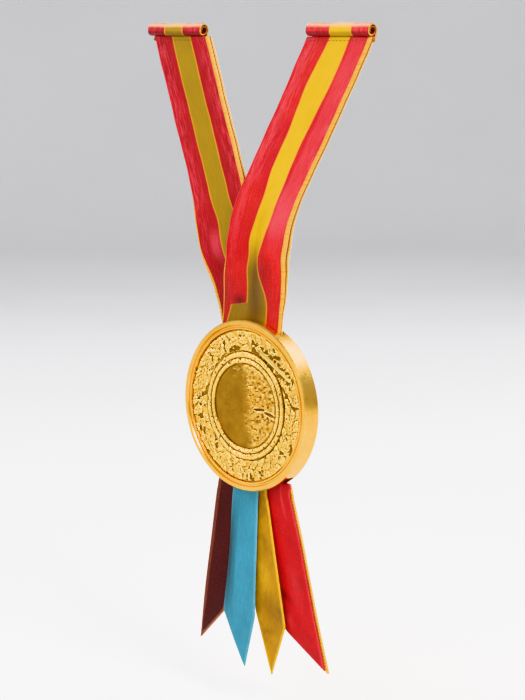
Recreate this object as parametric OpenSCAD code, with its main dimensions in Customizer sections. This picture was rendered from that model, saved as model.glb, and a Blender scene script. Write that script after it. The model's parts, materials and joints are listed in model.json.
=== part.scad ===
// Award medal hung on a V-shaped ribbon, with four ribbon tails below it.
// Millimetres, +Z up, the front of the medal faces -Y.
// Origin: the centre of the medal's flat back, on the outside of the back cover.

/* [Medal] */
// Diameter of the medal
medal_d = 70; // [68:1:74]
// Thickness of the medal from its back to the top of its rim
medal_t = 7.8; // [7.8:0.1:9]
// Thickness of the side wall
wall_t = 2.5; // [2:0.1:3]
// Thickness of the front plate, under the ornament
plate_t = 1.1; // [0.8:0.1:1.4]
// Thickness of the back cover
cover_t = 0.8; // [0.6:0.1:0.8]
// How far the ornament sits below the rim
recess_depth = 1.4; // [1:0.1:1.5]
// Outer radius of the wreath ring
wreath_r = 30.9; // [30:0.1:31]
// Outer radius of the double ring round the centre
bezel_r = 22.2; // [21:0.1:23]
// Radius of the centre disc
disc_r = 17.3; // [16:0.1:18]
// Leaves in each of the wreath's two rows
leaf_count = 22; // [16:1:26]

/* [Ribbon] */
// Width of the neck ribbon where it enters the medal
ribbon_w = 33; // [32:0.5:33]
// Thickness of one arm, two layers of ribbon
arm_t = 2.6; // [2.2:0.1:2.8]
// Width of the gold binding along each long edge
binding_w = 0.9; // [0.7:0.1:1.2]
// Height of the hems' centre line
hem_z = 150.5; // [148:0.5:152]
// Distance of each hem's middle from the centre plane
hem_x = 45.6; // [44:0.1:47]
// Outer radius of the rolled hem
hem_r = 2.7; // [2.5:0.1:3]
// Radius of the sleeve through the hem
sleeve_r = 1.2; // [1:0.1:1.4]
// Stitches in each hem's row
stitch_count = 15; // [11:2:15]

/* [Tails] */
// Depth below the medal's centre of the line that the tails fold on
fold_z = 35.45; // [35.4:0.05:36]
// Thickness of the blue and the yellow tail
thin_tail_t = 0.9; // [0.7:0.1:0.9]
// Thickness of a red tail with its backing
red_tail_t = 1.6; // [1.2:0.1:1.6]

/* [Hidden] */
$fn = 96;

gold = "goldenrod";
red = "crimson";
yellow = "gold";
blue = "steelblue";

// Medal, drawn with its back at height 0 and its front up, then stood on edge
medal_r = medal_d / 2;
cavity_r = medal_r - wall_t;
floor_h = medal_t - recess_depth;
cavity_h = floor_h - plate_t;
fit_gap = 0.08;
cover_gap = 0.1;
cover_r = cavity_r + 1;
rim_back_h = 0.2;
screw_x = 22;
screw_z = 17;
screw_r = 0.8;
screw_head_r = 1.6;
screw_head_h = 0.6;
screw_len = 3.6;
boss_r = 2;
bar_r = 0.9;

// Neck: where the two arms are sewn into one and go into the medal's top slot
neck_y = -2.7;
neck_t = 2.8;
neck_slot_w = ribbon_w + 1.4;
neck_slot_t = 3.4;
neck_bar_z = medal_r - 8;
neck_bar_len = 39;
swing_z = medal_r + 1.1;
seam_r = 1.3;
seam_t = 3;
seam_drop = 0.35;
seam_top_z = 37.5;
neck_top_z = medal_r + 0.2;
neck_foot_z = neck_bar_z - 2.5;

// Arms: stations from the hem down, as [z, x, y, half width, thickness scale]
arm_foot_z = seam_top_z + 0.05;
hem_gap = 0.05;
arm_top_z = hem_z - hem_r - hem_gap;
left_route = [
    [arm_top_z, -43.1, 0, 16.2, 1],
    [118, -32.2, -0.5, 16.2, 1],
    [90, -21.5, -1.1, 16.2, 1],
    [78, -17.9, -1.4, 16.2, 1],
    [66, -14.8, -1.5, 16.2, 1],
    [57, -11.8, -1.5, 16.2, 0.95],
    [48, -6.3, -1.4, 16.2, 0.85],
    [41, -3.9, -1.6, 16.3, 0.65],
    [arm_foot_z, -2.6, -1.9, 16.5, 0.5]];
right_route = [
    [arm_top_z, 45.2, 0, 16.8, 1],
    [118, 29.4, -2, 16.9, 1],
    [90, 14, -4.1, 16.9, 1],
    [78, 8.6, -4.7, 16.9, 1],
    [68, 6, -4.9, 16.9, 1],
    [57, 4.4, -4.75, 16.9, 0.95],
    [48, 3.3, -4.3, 16.9, 0.85],
    [41, 1.9, -3.7, 16.8, 0.65],
    [arm_foot_z, 1, -3.5, 16.5, 0.5]];
layer_gap = 0.05;
route_steps = 3;

// Hem stitches
stitch_r = 0.25;
stitch_len = 1.4;
stitch_drop = 1.2;

// Tails, front to back: the depth of each fold line
tail_slot_y = [-5.2, -1];
tail_slot_w = 44.4;
blue_y = -4.6;
yellow_y = -3.4;
red_y = -2;
tail_bar_y = -3.1;
tail_bar_z = -22;
tail_bar_len = 50.2;
header_h = 4.4;
header_w = 36;
root_top_z = -25;
// Height of a root's lower end above the fold line, as a share of its thickness: clears the tail at 60 degrees
root_foot = 0.32;
backing_drop = 0.9;

// Outlines of the tails as [x, z]: upper left, upper right, then round the cut end
red_left_fold = [-20.4, -5];
blue_fold = [-9.2, 5.4];
yellow_fold = [-4.8, 9.2];
red_right_fold = [6, 23];
red_left_end = [[-17.6, -89], [-33.2, -104.5], [-31, -91.6]];
blue_end = [[4, -87.6], [-1.8, -110.1], [-15, -87.6]];
yellow_end = [[19.8, -89.3], [11.9, -111], [3, -86]];
red_right_end = [[36, -85], [41.8, -105.2], [17.5, -91]];

// Turns a shape drawn in plan, with its front up, so that its front faces -Y
module stand() rotate([90, 0, 0]) children();

// A bar along X of the given length
module bar_along_x(r, len) rotate([0, 90, 0]) cylinder(r = r, h = len, center = true);

// An upright slab: an outline in x and z, centred on y and t thick
module slab(outline, y, t) translate([0, y + t / 2, 0]) stand() linear_extrude(t) polygon(outline);

// Puts a copy of the child at each cover screw
module at_screws() for (sx = [-1, 1], sz = [-1, 1]) translate([sx * screw_x, sz * screw_z]) children();

// Smooth curve through stations, by Catmull-Rom, with the given steps between each pair
function blend4(a, b, c, d, t) =
    0.5 * (2 * b + (c - a) * t + (2 * a - 5 * b + 4 * c - d) * t * t + (3 * b - a - 3 * c + d) * t * t * t);
function smooth(route, steps) = let (last = len(route) - 1) concat(
    [for (i = [0 : last - 1], k = [0 : steps - 1])
        blend4(route[max(i - 1, 0)], route[i], route[i + 1], route[min(i + 2, last)], k / steps)],
    [route[last]]);

// One layer of an arm. Each edge is [side, inset]; v0 to v1 is its depth, plus to the back
function edge_x(s, edge) = s[1] + edge[0] * (s[3] - edge[1]);
function section(s, a, b, v0, v1) = [
    [edge_x(s, a), s[2] + v0 * s[4], s[0]], [edge_x(s, b), s[2] + v0 * s[4], s[0]],
    [edge_x(s, b), s[2] + v1 * s[4], s[0]], [edge_x(s, a), s[2] + v1 * s[4], s[0]]];
module layer(route, a, b, v0, v1) {
    stations = smooth(route, route_steps);
    last = len(stations) - 1;
    points = [for (s = stations) each section(s, a, b, v0, v1)];
    sides = [for (i = [0 : last - 1], k = [0 : 3])
        let (p = 4 * i + k, q = 4 * i + (k + 1) % 4) each [[p, q, q + 4], [p, q + 4, p + 4]]];
    foot = 4 * last;
    polyhedron(points, concat(sides, [[2, 1, 0], [3, 2, 0], [foot, foot + 1, foot + 2],
        [foot, foot + 2, foot + 3]]), convexity = 4);
}
module arm_front(route) layer(route, [-1, binding_w + layer_gap], [1, binding_w + layer_gap],
    -arm_t / 2, -layer_gap / 2);
module arm_back(route) layer(route, [-1, binding_w + layer_gap], [1, binding_w + layer_gap],
    layer_gap / 2, arm_t / 2);
module binding(route, side) layer(route, [side, side < 0 ? 0 : binding_w], [side, side < 0 ? binding_w : 0],
    -arm_t / 2, arm_t / 2);

// Stepped rim, side wall and front plate, turned as one shell that is open at the back
module case_shell() rotate_extrude($fn = 180) polygon([
    [0, cavity_h], [cavity_r, cavity_h], [cavity_r, rim_back_h + cover_t + 0.2],
    [cover_r + cover_gap, rim_back_h + cover_t + 0.2], [cover_r + cover_gap, rim_back_h],
    [medal_r - 0.4, rim_back_h], [medal_r, rim_back_h + 0.4], [medal_r, medal_t - 0.6],
    [medal_r - 0.5, medal_t], [medal_r - 1.9, medal_t], [medal_r - 2.3, medal_t - 0.8],
    [medal_r - 2.8, medal_t - 0.8], [medal_r - 3.1, medal_t - 0.3], [wreath_r + 0.4, medal_t - 0.3],
    [wreath_r + cover_gap, floor_h], [0, floor_h]]);

module medal_case() color(gold) difference() {
    union() {
        difference() {
            stand() case_shell();
            // slot for the neck ribbon, in the top of the wall
            translate([-neck_slot_w / 2, neck_y - neck_slot_t / 2, neck_bar_z])
                cube([neck_slot_w, neck_slot_t, 2 * wall_t + 8]);
            // slot for the tails, in the bottom of the wall
            translate([-tail_slot_w / 2, tail_slot_y[0], -medal_r - 5])
                cube([tail_slot_w, tail_slot_y[1] - tail_slot_y[0], medal_r + 5 + root_top_z + 0.5]);
        }
        stand() at_screws() translate([0, 0, cover_t + fit_gap]) cylinder(r = boss_r, h = cavity_h - cover_t);
    }
    // pilot holes for the cover screws
    stand() at_screws() cylinder(r = screw_r + 0.05, h = screw_len + 0.3, $fn = 32);
    // seats for the two bars, open towards the back cover
    bar_seat(neck_bar_len, neck_y, neck_bar_z);
    bar_seat(tail_bar_len, tail_bar_y, tail_bar_z);
}

module bar_seat(len, y, z) {
    seat_r = bar_r + fit_gap;
    translate([0, y, z]) bar_along_x(seat_r, len + 0.2);
    translate([-len / 2 - 0.1, y, z - seat_r]) cube([len + 0.2, -y - rim_back_h, 2 * seat_r]);
}

// One pointed leaf of the wreath, lying flat
module leaf(len, w) polygon([[-w / 2, 0], [-w / 3, len * 0.7], [0, len], [w / 3, len * 0.7], [w / 2, 0],
    [w / 4, -len * 0.3], [-w / 4, -len * 0.3]]);

module wreath_ring() color(gold) stand() translate([0, 0, floor_h]) {
    ring_in = bezel_r + 0.1;
    band_w = wreath_r - ring_in;
    rotate_extrude($fn = 180) polygon([[ring_in, 0.02], [wreath_r, 0.02], [wreath_r, 0.3],
        [wreath_r - 1, 0.5], [ring_in + 1, 0.5], [ring_in, 0.3]]);
    for (i = [0 : leaf_count - 1], row = [0, 1])
        rotate(360 * (i + row / 2) / leaf_count) translate([ring_in + band_w * (0.3 + 0.42 * row), 0, 0.3])
            rotate(row == 0 ? -28 : 28) linear_extrude(0.6 + 0.15 * row) leaf(4.6, 3);
}

module centre_bezel() color(gold) stand() translate([0, 0, floor_h]) rotate_extrude($fn = 180) polygon([
    [disc_r + 0.1, 0.02], [bezel_r, 0.02], [bezel_r, 0.7], [bezel_r - 0.5, 1.1], [bezel_r - 1.6, 1.1],
    [bezel_r - 2.1, 0.7], [bezel_r - 2.6, 0.7], [bezel_r - 3.1, 1.2], [disc_r + 0.7, 1.2],
    [disc_r + 0.1, 0.8]]);

module centre_disc() color("darkgoldenrod") stand() translate([0, 0, floor_h + 0.02])
    rotate_extrude($fn = 120) polygon([[0, 0], [disc_r, 0], [disc_r, 0.5], [disc_r - 0.6, 0.5],
        [disc_r - 0.9, 0.3], [0, 0.3]]);

module back_cover() color(gold) stand() difference() {
    cylinder(r = cover_r, h = cover_t, $fn = 180);
    at_screws() {
        translate([0, 0, -0.1]) cylinder(r = screw_r + 0.1, h = cover_t + 1, $fn = 32);
        translate([0, 0, -0.1]) cylinder(r = screw_head_r + 0.1, h = 0.1 + 0.05, $fn = 48);
        translate([0, 0, 0.05]) cylinder(r1 = screw_head_r + 0.1, r2 = screw_r + 0.1, h = screw_head_h, $fn = 48);
    }
}

module cover_screws() color("darkgoldenrod") stand() at_screws() difference() {
    union() {
        translate([0, 0, 0.05]) cylinder(r1 = screw_head_r, r2 = screw_r, h = screw_head_h, $fn = 48);
        translate([0, 0, 0.05]) cylinder(r = screw_r, h = screw_len, $fn = 32);
    }
    // driver slot
    translate([-screw_head_r, -0.2, 0]) cube([2 * screw_head_r, 0.4, 0.35]);
}

module neck_bar() color("silver") translate([0, neck_y, neck_bar_z]) bar_along_x(bar_r, neck_bar_len);
module tail_bar() color("silver") translate([0, tail_bar_y, tail_bar_z]) bar_along_x(bar_r, tail_bar_len);

module neck_loop() color(red) difference() {
    translate([-ribbon_w / 2, neck_y - neck_t / 2, neck_foot_z])
        cube([ribbon_w, neck_t, neck_top_z - neck_foot_z]);
    translate([0, neck_y, neck_bar_z]) bar_along_x(bar_r + 0.05, ribbon_w + 1);
    translate([0, neck_y, swing_z]) bar_along_x(seam_r + fit_gap, ribbon_w + 1);
}

module arm_seam() color(red) {
    translate([0, neck_y, swing_z]) bar_along_x(seam_r, ribbon_w);
    translate([-ribbon_w / 2, neck_y - seam_t / 2, swing_z + seam_drop])
        cube([ribbon_w, seam_t, seam_top_z - swing_z - seam_drop]);
}

module left_arm_front() color(red) arm_front(left_route);
module left_arm_back() color(red) arm_back(left_route);
module left_arm_inner_binding() color(yellow) binding(left_route, 1);
module left_arm_outer_binding() color(yellow) binding(left_route, -1);
module right_arm_front() color(red) arm_front(right_route);
module right_arm_back() color(red) arm_back(right_route);
module right_arm_inner_binding() color(yellow) binding(right_route, -1);
module right_arm_outer_binding() color(yellow) binding(right_route, 1);

module hem(side) color(red) translate([side * hem_x, 0, hem_z]) difference() {
    bar_along_x(hem_r, ribbon_w);
    bar_along_x(sleeve_r, ribbon_w + 1);
}
module left_hem() hem(-1);
module right_hem() hem(1);

module hem_stitches(route) {
    top = route[0];
    fall = (route[1] - top) / (top[0] - route[1][0]);
    pitch = 2 * (top[3] - binding_w) / stitch_count;
    at = top + fall * stitch_drop;
    color("khaki") for (i = [0 : stitch_count - 1])
        translate([at[1] + (i - (stitch_count - 1) / 2) * pitch, at[2] - arm_t / 2 - stitch_r - layer_gap, at[0]])
            bar_along_x(stitch_r, stitch_len);
}
module left_hem_stitches() hem_stitches(left_route);
module right_hem_stitches() hem_stitches(right_route);

// Tape that gathers the tails' upper ends and loops over the tail bar
module tail_header() color("dimgray") difference() {
    translate([-header_w / 2, tail_slot_y[0] + 0.15, tail_bar_z - header_h + 1.5])
        cube([header_w, tail_slot_y[1] - tail_slot_y[0] - 0.3, header_h]);
    translate([0, tail_bar_y, tail_bar_z]) bar_along_x(bar_r + 0.05, header_w + 1);
}

// The held end of a tail, from the header down to the fold line
module root(fold, lean, y, t) difference() {
    foot = -fold_z + root_foot * t;
    slab([[fold[0] + lean[0], root_top_z], [fold[1] + lean[1], root_top_z], [fold[1], foot], [fold[0], foot]], y, t);
    translate([0, y, -fold_z]) bar_along_x(t / 2 + fit_gap, 2 * medal_d);
}
module root_red_left() color("maroon") root(red_left_fold, [3.4, 0], red_y, red_tail_t);
module root_blue() color(blue) root(blue_fold, [0, 0], blue_y, thin_tail_t);
module root_yellow() color(yellow) root(yellow_fold, [1, -0.6], yellow_y, thin_tail_t);
module root_red_right() color(red) root(red_right_fold, [-1, -3.2], red_y, red_tail_t);

// The free part of a tail: a sheet below its fold line, with a round fold along the top
module tail(fold, end, y, t) {
    middle = (fold[0] + fold[1]) / 2;
    translate([middle, y, -fold_z]) bar_along_x(t / 2, fold[1] - fold[0]);
    slab(concat([[fold[0], -fold_z], [fold[1], -fold_z]], end), y, t);
}
// A red tail's face is the front half of its sheet, and its backing is the rest
module tail_face(fold, end) difference() {
    tail(fold, end, red_y, red_tail_t);
    translate([-medal_r * 2, red_y - layer_gap / 2, -5 * medal_r])
        cube([4 * medal_r, red_tail_t, 5 * medal_r - fold_z - backing_drop + layer_gap]);
}
module tail_backing(fold, end) intersection() {
    slab(concat([[fold[0], -fold_z], [fold[1], -fold_z]], end), red_y, red_tail_t);
    translate([-medal_r * 2, red_y + layer_gap / 2, -5 * medal_r])
        cube([4 * medal_r, red_tail_t, 5 * medal_r - fold_z - backing_drop]);
}
module tail_red_left() color("maroon") tail_face(red_left_fold, red_left_end);
module tail_red_left_backing() color("tan") tail_backing(red_left_fold, red_left_end);
module tail_blue() color(blue) tail(blue_fold, blue_end, blue_y, thin_tail_t);
module tail_yellow() color(yellow) tail(yellow_fold, yellow_end, yellow_y, thin_tail_t);
module tail_red_right() color(red) tail_face(red_right_fold, red_right_end);
module tail_red_right_backing() color(yellow) tail_backing(red_right_fold, red_right_end);

medal_case();
wreath_ring();
centre_bezel();
centre_disc();
back_cover();
cover_screws();
neck_bar();
tail_bar();
neck_loop();
arm_seam();
left_arm_front();
left_arm_back();
left_arm_inner_binding();
left_arm_outer_binding();
right_arm_front();
right_arm_back();
right_arm_inner_binding();
right_arm_outer_binding();
left_hem();
right_hem();
left_hem_stitches();
right_hem_stitches();
tail_header();
root_red_left();
root_blue();
root_yellow();
root_red_right();
tail_red_left();
tail_red_left_backing();
tail_blue();
tail_yellow();
tail_red_right();
tail_red_right_backing();
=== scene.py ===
"""Looks of an award medal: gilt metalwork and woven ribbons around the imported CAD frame.

Lengths are metres, in the part's own frame: +Z up, the medal's face towards -Y.
"""
import json
import math

import bpy
import numpy as np
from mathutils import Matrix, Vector


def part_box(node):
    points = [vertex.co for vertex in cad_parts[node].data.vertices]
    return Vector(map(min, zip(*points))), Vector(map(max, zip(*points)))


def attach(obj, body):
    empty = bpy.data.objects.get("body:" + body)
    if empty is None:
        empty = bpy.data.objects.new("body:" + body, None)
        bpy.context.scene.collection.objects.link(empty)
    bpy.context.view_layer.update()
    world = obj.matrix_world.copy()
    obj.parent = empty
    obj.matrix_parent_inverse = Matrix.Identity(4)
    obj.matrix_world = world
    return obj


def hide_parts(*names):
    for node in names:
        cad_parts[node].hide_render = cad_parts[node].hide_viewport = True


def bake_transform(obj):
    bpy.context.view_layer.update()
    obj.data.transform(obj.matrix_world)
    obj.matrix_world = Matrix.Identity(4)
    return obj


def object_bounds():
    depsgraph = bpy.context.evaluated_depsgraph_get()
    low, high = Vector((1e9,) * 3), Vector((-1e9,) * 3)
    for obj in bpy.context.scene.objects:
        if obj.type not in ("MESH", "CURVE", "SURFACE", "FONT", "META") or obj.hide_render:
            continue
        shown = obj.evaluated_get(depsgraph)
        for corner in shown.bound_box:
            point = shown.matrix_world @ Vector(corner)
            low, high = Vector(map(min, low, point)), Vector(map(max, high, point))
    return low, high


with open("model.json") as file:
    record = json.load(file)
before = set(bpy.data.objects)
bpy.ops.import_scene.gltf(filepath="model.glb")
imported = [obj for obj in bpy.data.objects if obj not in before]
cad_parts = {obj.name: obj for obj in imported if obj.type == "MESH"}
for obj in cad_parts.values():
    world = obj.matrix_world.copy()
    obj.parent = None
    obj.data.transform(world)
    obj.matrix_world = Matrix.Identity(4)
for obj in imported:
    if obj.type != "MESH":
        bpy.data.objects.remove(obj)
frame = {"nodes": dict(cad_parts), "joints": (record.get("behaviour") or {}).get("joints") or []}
cad_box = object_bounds()

MM = 0.001


# ---- numbers and noise

def clamp(x):
    return np.clip(x, 0, 1)


def ease(x, start, end):
    """Goes smoothly from 0 to 1 as x goes from start to end, whichever of the two is higher."""
    t = clamp((np.asarray(x, float) - start) / (end - start))
    return t * t * (3 - 2 * t)


def hill(x, centre, half_width):
    """A smooth hill of height 1 at centre that falls to 0 at half_width from it."""
    return clamp(1 - ((np.asarray(x, float) - centre) / half_width) ** 2) ** 2


def lattice(ix, iy, seed):
    """A repeatable pseudo-random number from 0 to 1 for each lattice point."""
    n = np.sin(ix * 127.1 + iy * 311.7 + seed * 74.7) * 43758.5453
    return n - np.floor(n)


def value_noise(x, y, seed=0):
    """Smooth noise from -1 to 1 over a plane."""
    ix, iy = np.floor(x), np.floor(y)
    fx, fy = x - ix, y - iy
    fx, fy = fx * fx * (3 - 2 * fx), fy * fy * (3 - 2 * fy)
    low = lattice(ix, iy, seed) * (1 - fx) + lattice(ix + 1, iy, seed) * fx
    high = lattice(ix, iy + 1, seed) * (1 - fx) + lattice(ix + 1, iy + 1, seed) * fx
    return 2 * (low * (1 - fy) + high * fy) - 1


def noise(x, y, octaves=4, seed=0):
    total = sum(value_noise(x * 2 ** k, y * 2 ** k, seed + 13 * k) / 2 ** k for k in range(octaves))
    return total / 1.9


# ---- meshes

def new_object(name, vertices, faces, attributes=None):
    """A mesh object from arrays, with a float attribute on its points for each entry of attributes."""
    mesh = bpy.data.meshes.new(name)
    mesh.from_pydata(np.asarray(vertices, float).reshape(-1, 3).tolist(), [], faces)
    mesh.validate()
    for key, values in (attributes or {}).items():
        layer = mesh.attributes.new(key, "FLOAT", "POINT")
        layer.data.foreach_set("value", np.asarray(values, np.float32).ravel())
    mesh.polygons.foreach_set("use_smooth", [True] * len(mesh.polygons))
    mesh.update()
    obj = bpy.data.objects.new(name, mesh)
    bpy.context.scene.collection.objects.link(obj)
    return obj


def band_faces(rows, around):
    """Faces between the rings of an open tube: rows of them, with the same number of points in each."""
    return [(r * around + k, r * around + (k + 1) % around, (r + 1) * around + (k + 1) % around,
             (r + 1) * around + k) for r in range(rows - 1) for k in range(around)]


def sweep_faces(rows, around):
    """Faces of a closed flat tube, with its two ends laid as strips from front to back."""
    faces = band_faces(rows, around)
    half = around // 2
    for base, flip in ((0, True), ((rows - 1) * around, False)):
        for k in range(half):
            ring = [base + k, base + k + 1, base + (around - k - 1) % around, base + (around - k) % around]
            corners = list(dict.fromkeys(ring))
            if len(corners) > 2:
                faces.append(tuple(corners[::-1] if flip else corners))
    return faces


def band_profile(half_width, thickness, across, arc=4):
    """Points (u, v) round a flat band with round edges: front side left to right, then the back side."""
    r = thickness / 2
    turn = np.linspace(0, math.pi / 2, arc + 1)[:-1]
    left = [(-half_width + r - r * math.cos(a), -r * math.sin(a)) for a in turn]
    flat = [(u, -r) for u in np.linspace(-half_width + r, half_width - r, across)]
    right = [(-u, v) for u, v in left[::-1]]
    front = left + flat + right
    back = [(u, -v) for u, v in front[1:-1]][::-1]
    return np.array(front + back)


# ---- materials

class Shader:
    """A material built from nodes, with the Principled shader's own sockets set by name."""

    def __init__(self, name, **constants):
        self.material = bpy.data.materials.new(name)
        self.material.use_nodes = True
        self.tree = self.material.node_tree
        self.tree.nodes.clear()
        output = self.tree.nodes.new("ShaderNodeOutputMaterial")
        self.shader = self.tree.nodes.new("ShaderNodeBsdfPrincipled")
        self.tree.links.new(self.shader.outputs[0], output.inputs["Surface"])
        for key, value in constants.items():
            self.shader.inputs[key.replace("_", " ")].default_value = value

    def node(self, kind, inputs=None, **settings):
        made = self.tree.nodes.new("ShaderNode" + kind)
        for key, value in settings.items():
            setattr(made, key, value)
        for key, value in (inputs or {}).items():
            if isinstance(value, bpy.types.NodeSocket):
                self.tree.links.new(value, made.inputs[key])
            else:
                made.inputs[key].default_value = value
        return made

    def use(self, socket, output):
        self.tree.links.new(output, self.shader.inputs[socket])

    def attribute(self, name):
        return self.node("Attribute", attribute_name=name, attribute_type="GEOMETRY").outputs["Fac"]

    def math(self, operation, a, b=0.0):
        return self.node("Math", {0: a, 1: b}, operation=operation).outputs[0]

    def times(self, a, b):
        return self.math("MULTIPLY", a, b)

    def ramp(self, fac, *stops):
        """A colour ramp: stops are (position, colour or grey level)."""
        made = self.node("ValToRGB", {"Fac": fac})
        elements = made.color_ramp.elements
        while len(elements) < len(stops):
            elements.new(1.0)
        for element, (position, colour) in zip(elements, stops):
            element.position = position
            red_green_blue = (colour,) * 3 if isinstance(colour, (int, float)) else colour
            element.color = (*red_green_blue, 1)
        return made.outputs["Color"]

    def mix(self, fac, a, b, blend="MIX"):
        made = self.node("Mix", data_type="RGBA", blend_type=blend)
        for index, value in ((0, fac), (6, a), (7, b)):
            if isinstance(value, bpy.types.NodeSocket):
                self.tree.links.new(value, made.inputs[index])
            else:
                made.inputs[index].default_value = value if index == 0 else tuple(value) + (1,)
        return made.outputs[2]

    def position(self):
        return self.node("TexCoord").outputs["Object"]

    def vector(self, x, y):
        return self.node("CombineXYZ", {0: x, 1: y, 2: 0.0}).outputs[0]

    def noise(self, scale, detail, roughness=0.5, vector=None):
        inputs = {"Scale": scale, "Detail": detail, "Roughness": roughness}
        inputs["Vector"] = self.position() if vector is None else vector
        return self.node("TexNoise", inputs).outputs["Fac"]

    def roughness(self, value, start, end, low, high):
        """Roughness that goes from low to high while value goes from start to end."""
        spread = self.node("MapRange", {"Value": value, 1: start, 2: end, 3: low, 4: high})
        self.use("Roughness", spread.outputs[0])

    def bump(self, height, strength, distance, normal=None):
        inputs = {"Height": height, "Strength": strength, "Distance": distance}
        if normal is not None:
            inputs["Normal"] = normal
        return self.node("Bump", inputs).outputs["Normal"]


def srgb(r, g, b):
    """Linear colour from 0-255 screen values."""
    return tuple(((c / 255 + 0.055) / 1.055) ** 2.4 if c > 10 else c / 255 / 12.92 for c in (r, g, b))


GOLD = srgb(248, 200, 104)
GOLD_PALE = srgb(255, 222, 140)
GOLD_DEEP = srgb(230, 168, 62)
GOLD_DARK = srgb(104, 60, 2)
GOLD_BRIGHT = srgb(255, 234, 164)


def gold_material(name, base, deep, roughness, grain, relief=False):
    """Gilt metal with a warm tone drifting in patches and a fine casting grain. On a relief, the hollows are
    dark, partly with painted shade in the crevices, and the crests carry a painted highlight."""
    s = Shader(name, Metallic=1.0, Specular_IOR_Level=0.5)
    patches = s.noise(90.0, 4.0, 0.6)
    colour = s.mix(s.ramp(patches, (0.35, 0.0), (0.75, 0.8)), base, deep)
    specks = s.noise(900.0, 2.0, 0.5)
    colour = s.mix(s.ramp(specks, (0.52, 0.0), (0.72, 0.3)), colour, GOLD_PALE)
    if relief:
        # painted highlight on the crests
        colour = s.mix(s.ramp(s.attribute("crest"), (0.0, 0.0), (1.0, 0.75)), colour, GOLD_BRIGHT)
        # dark tone in the hollows, with painted shade in the crevices
        colour = s.mix(s.ramp(s.attribute("hollow"), (0.0, 0.0), (1.0, 0.92)), colour, GOLD_DARK)
    s.use("Base Color", colour)
    s.roughness(s.noise(260.0, 5.0, 0.65), 0.3, 0.8, roughness - 0.05, roughness + 0.12)
    fine = s.bump(s.noise(2600.0, 3.0, 0.6), grain, 0.00008)
    s.use("Normal", s.bump(s.noise(320.0, 4.0, 0.6), grain * 2, 0.0002, fine))
    return s.material


def streaks_along(s, across_scale, along_scale, detail=5.0):
    """Noise drawn out along the ribbon, in the mesh's own millimetres."""
    vector = s.vector(s.times(s.attribute("across_mm"), across_scale),
                      s.times(s.attribute("along"), along_scale))
    return s.noise(1.0, detail, 0.68, vector)


RIB_PITCH_MM = 0.42
WARP_PITCH_MM = 0.252
BORDER_STITCH_MM = 1.3


def waves(s, attribute, pitch):
    return s.math("SINE", s.times(s.attribute(attribute), 2 * math.pi / pitch))


def darker(s, colour, factor):
    return s.mix(1.0, colour, factor, "MULTIPLY")


def weave(s, colour):
    """Ribs across the ribbon, warp threads along it, and tone that wanders from thread to thread."""
    rib = waves(s, "along", RIB_PITCH_MM)
    warp = waves(s, "across_mm", WARP_PITCH_MM)
    cloth = s.math("ADD", s.times(rib, 0.7), s.times(warp, 0.3))
    streaks = streaks_along(s, 1.7, 0.14)
    threads = s.ramp(streaks, (0.35, 0.0), (0.7, 0.55))
    colour = s.mix(threads, colour, darker(s, colour, (0.66, 0.60, 0.56)))
    patches = s.ramp(s.noise(75.0, 4.0, 0.6), (0.35, 0.0), (0.7, 0.35))
    colour = s.mix(patches, colour, darker(s, colour, (0.74, 0.68, 0.64)))
    slubs = s.ramp(streaks_along(s, 2.6, 1.5, 2.0), (0.52, 0.0), (0.75, 0.2))
    s.use("Base Color", s.mix(slubs, colour, s.mix(0.3, colour, (1, 0.6, 0.5))))
    s.roughness(streaks, 0.3, 0.8, 0.34, 0.54)
    height = s.math("ADD", s.times(cloth, 0.5), s.times(streaks, 0.8))
    s.use("Normal", s.bump(height, 0.4, 0.00014))


def satin(name, base, pale, deep, edge, tint, blotch=0.25):
    """Satin ribbon of one colour, given by screen values. It is paler at its selvedges and cut ends, as
    far as edge says, and deeper in blotches. Painted shade darkens its folds, and a painted sheen lightens it
    where it catches the light."""
    base, pale, deep = srgb(*base), srgb(*pale), srgb(*deep)
    s = Shader(name, Specular_IOR_Level=0.25, Sheen_Weight=0.04, Sheen_Roughness=0.3, Sheen_Tint=(*tint, 1))
    rim = s.ramp(s.attribute("edge"), (0.0, 0.0), (1.0, edge))
    rim = s.times(rim, s.ramp(streaks_along(s, 1.5, 0.5), (0.35, 0.5), (0.6, 1.0)))
    blotches = s.ramp(s.noise(160.0, 4.0, 0.6), (0.42, 0.0), (0.66, blotch))
    gleam = s.ramp(streaks_along(s, 2.2, 0.4), (0.35, 0.3), (0.6, 1.0))
    # painted sheen where the satin catches the light
    glow = s.times(s.attribute("glow"), gleam)
    colour = s.mix(s.math("MAXIMUM", rim, glow), s.mix(blotches, base, deep), pale)
    # painted shade in the folds
    colour = s.mix(s.attribute("shade"), colour, deep)
    # a row of dark stitches along a sewn border
    line = s.ramp(s.attribute("border"), (0.13, 0.0), (0.19, 1.0), (0.27, 1.0), (0.33, 0.0))
    dash = s.ramp(waves(s, "along", BORDER_STITCH_MM), (0.1, 0.0), (0.3, 0.8))
    weave(s, s.mix(s.times(line, dash), colour, deep))
    return s.material


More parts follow.
